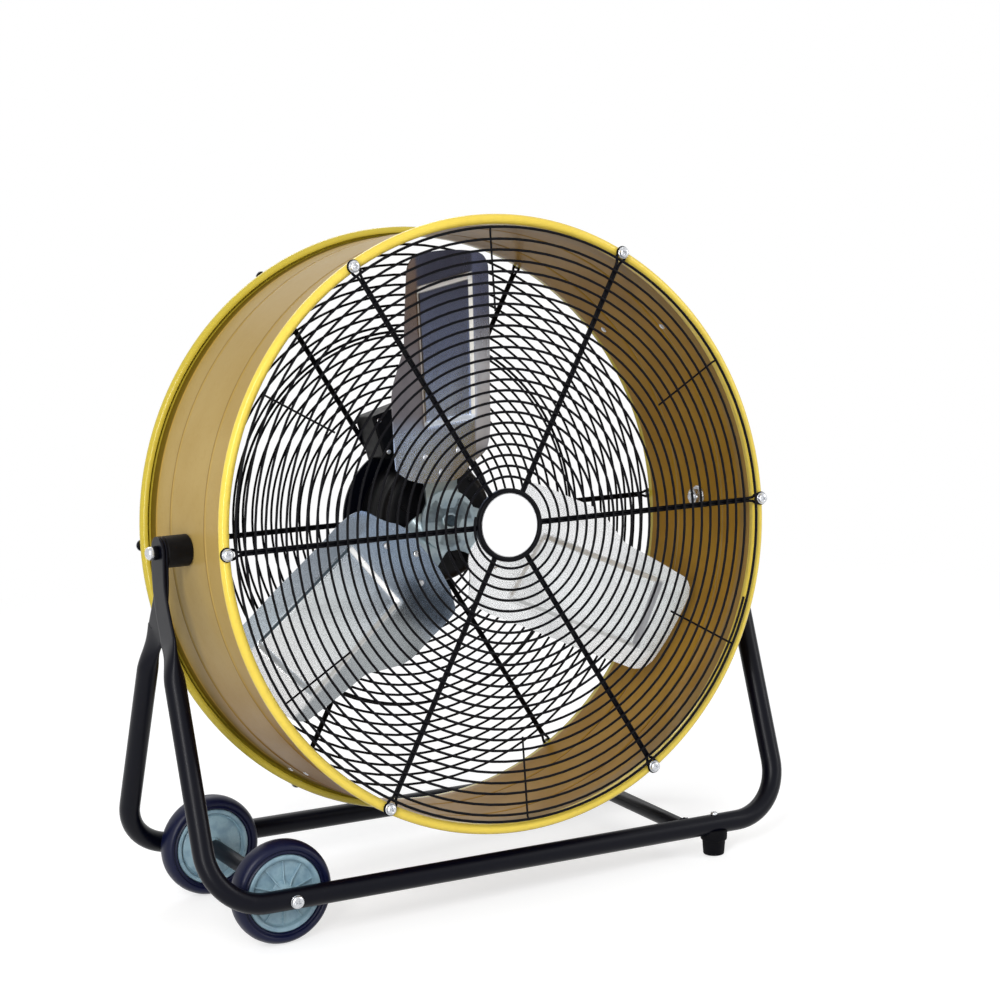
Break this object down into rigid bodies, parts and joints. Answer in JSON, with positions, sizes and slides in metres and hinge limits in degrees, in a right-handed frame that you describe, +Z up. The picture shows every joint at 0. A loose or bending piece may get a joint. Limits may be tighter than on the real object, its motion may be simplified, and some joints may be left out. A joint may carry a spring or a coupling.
{
  "type": "drum fan",
  "caption": "Floor drum fan: a short wide drum with wire guards and a bladed fan, tilting in a bent-tube stand with wheels at one end and rubber feet at the other.",
  "frame": {"origin": "on the floor, under the middle of the bounding box", "axes": "+Z up, -Y the way the air leaves (the front), +X to the right seen from the front, the feet end"},
  "size_m": [0.7278, 0.3082, 0.7241],
  "materials": {
    "yellow_paint": "glossy powder coat",
    "black_paint": "glossy powder coat",
    "black_wire": "satin powder coat",
    "zinc": "zinc plated",
    "steel": "ground steel",
    "aluminium": "pressed sheet",
    "cast_housing": "black painted casting",
    "black_plastic": "moulded",
    "white_plastic": "moulded",
    "hub_plastic": "moulded",
    "black_rubber": "moulded",
    "tyre_rubber": "moulded"
  },
  "bodies": {
    "stand": {"stand_frame_front": "black_paint", "stand_frame_rear": "black_paint", "stand_cross_tube": "black_paint", "foot_front": "black_rubber", "foot_rear": "black_rubber", "foot_screw_front": "zinc", "foot_screw_rear": "zinc", "axle_bolt": "zinc", "axle_nut": "zinc", "axle_sleeve": "black_paint"},
    "drum": {"drum_shell": "yellow_paint", "pivot_bush_left": "black_plastic", "pivot_collar_left": "black_plastic", "pivot_bolt_left": "zinc", "pivot_nut_left": "zinc", "pivot_bush_right": "black_plastic", "pivot_collar_right": "black_plastic", "pivot_bolt_right": "zinc", "pivot_nut_right": "zinc", "front_guard_spiral": "black_wire", "front_guard_spokes": "black_wire", "front_guard_rim_wire": "black_wire", "front_badge": "white_plastic", "rear_guard_spiral": "black_wire", "rear_guard_frame": "black_wire", "front_rim_screw_1": "zinc", "rear_rim_screw_1": "zinc", "front_rim_screw_2": "zinc", "rear_rim_screw_2": "zinc", "front_rim_screw_3": "zinc", "rear_rim_screw_3": "zinc", "front_rim_screw_4": "zinc", "rear_rim_screw_4": "zinc", "front_rim_screw_5": "zinc", "rear_rim_screw_5": "zinc", "front_rim_screw_6": "zinc", "rear_rim_screw_6": "zinc", "motor_mount_plate": "black_paint", "motor_body": "cast_housing", "motor_front_cover": "cast_housing", "motor_rear_cover": "cast_housing", "motor_stator": "steel", "bearing_front": "steel", "bearing_rear": "steel", "control_box": "black_plastic", "speed_switch": "black_plastic", "run_capacitor": "black_plastic", "cord_gland": "black_rubber"},
    "fan": {"motor_shaft": "steel", "motor_rotor": "steel", "fan_spider": "aluminium", "fan_blade_1": "aluminium", "fan_blade_2": "aluminium", "fan_blade_3": "aluminium"},
    "wheel_front": {"wheel_tyre_front": "tyre_rubber", "wheel_hub_front": "hub_plastic"},
    "wheel_rear": {"wheel_tyre_rear": "tyre_rubber", "wheel_hub_rear": "hub_plastic"},
    "knob": {"speed_knob": "black_plastic"}
  },
  "joints": [
    {"name": "drum_tilt", "type": "hinge", "parent": "stand", "child": "drum", "pos_m": [0.00454, 0.00038, 0.3901], "axis": [0.9992, 0, -0.0401], "range_deg": [-83, 97]},
    {"name": "fan_spin", "type": "hinge", "parent": "drum", "child": "fan", "pos_m": [0.00454, 0.00038, 0.3901], "axis": [-0.0049, 0.9925, -0.1218], "continuous": true},
    {"name": "speed_knob_turn", "type": "hinge", "parent": "drum", "child": "knob", "pos_m": [-0.01977, 0.12425, 0.48098], "axis": [-0.0049, 0.9925, -0.1218], "range_deg": [0, 120]},
    {"name": "wheel_front_roll", "type": "hinge", "parent": "stand", "child": "wheel_front", "pos_m": [-0.26764, -0.09162, 0.05475], "axis": [0, 1, 0], "continuous": true},
    {"name": "wheel_rear_roll", "type": "hinge", "parent": "stand", "child": "wheel_rear", "pos_m": [-0.26764, 0.09238, 0.05475], "axis": [0, 1, 0], "continuous": true}
  ]
}
